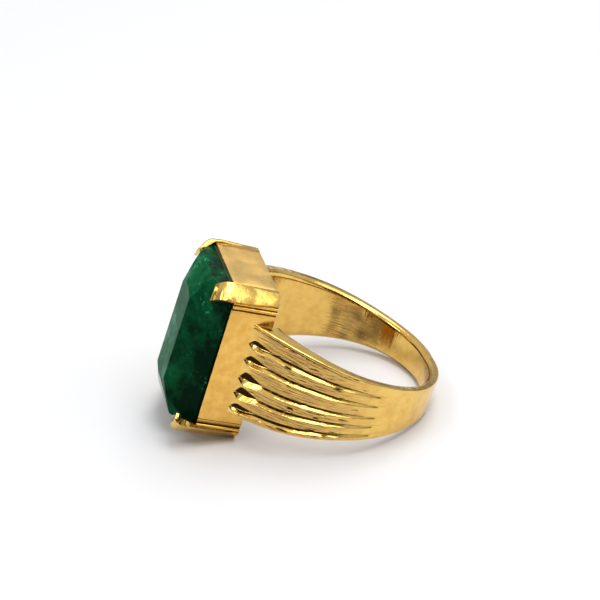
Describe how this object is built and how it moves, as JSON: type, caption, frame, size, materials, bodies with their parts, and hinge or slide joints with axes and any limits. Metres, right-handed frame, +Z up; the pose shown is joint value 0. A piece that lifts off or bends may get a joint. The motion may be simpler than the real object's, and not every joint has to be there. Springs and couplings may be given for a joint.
{
  "type": "cocktail ring",
  "caption": "Cocktail ring with a large step-cut green stone in a straight-walled gold box head with corner claws, on a tapered band with fluted shoulders.",
  "frame": {"origin": "on the surface that the ring lies on, under the middle of its bounding box", "axes": "+Z up; +X from the stone towards the palm side of the band; +Y across the finger hole. The ring lies on its side, tilted about Y onto the lower back edge of its head and the lower rim of the palm"},
  "size_m": [0.0262, 0.0206, 0.016],
  "materials": {
    "polished_gold": "polished yellow gold",
    "cast_gold": "cast yellow gold, brushed on the ridges and bright in the flutes",
    "green_stone": "polished deep green step-cut stone with fine inclusions"
  },
  "bodies": {
    "root": {"finger_band": "cast_gold", "long_wall_left": "polished_gold", "long_wall_right": "polished_gold", "end_wall_upper": "polished_gold", "end_wall_lower": "polished_gold", "stone_seat": "polished_gold", "claw_upper_left": "polished_gold", "claw_upper_right": "polished_gold", "claw_lower_left": "polished_gold", "claw_lower_right": "polished_gold", "green_stone": "green_stone"}
  },
  "joints": []
}
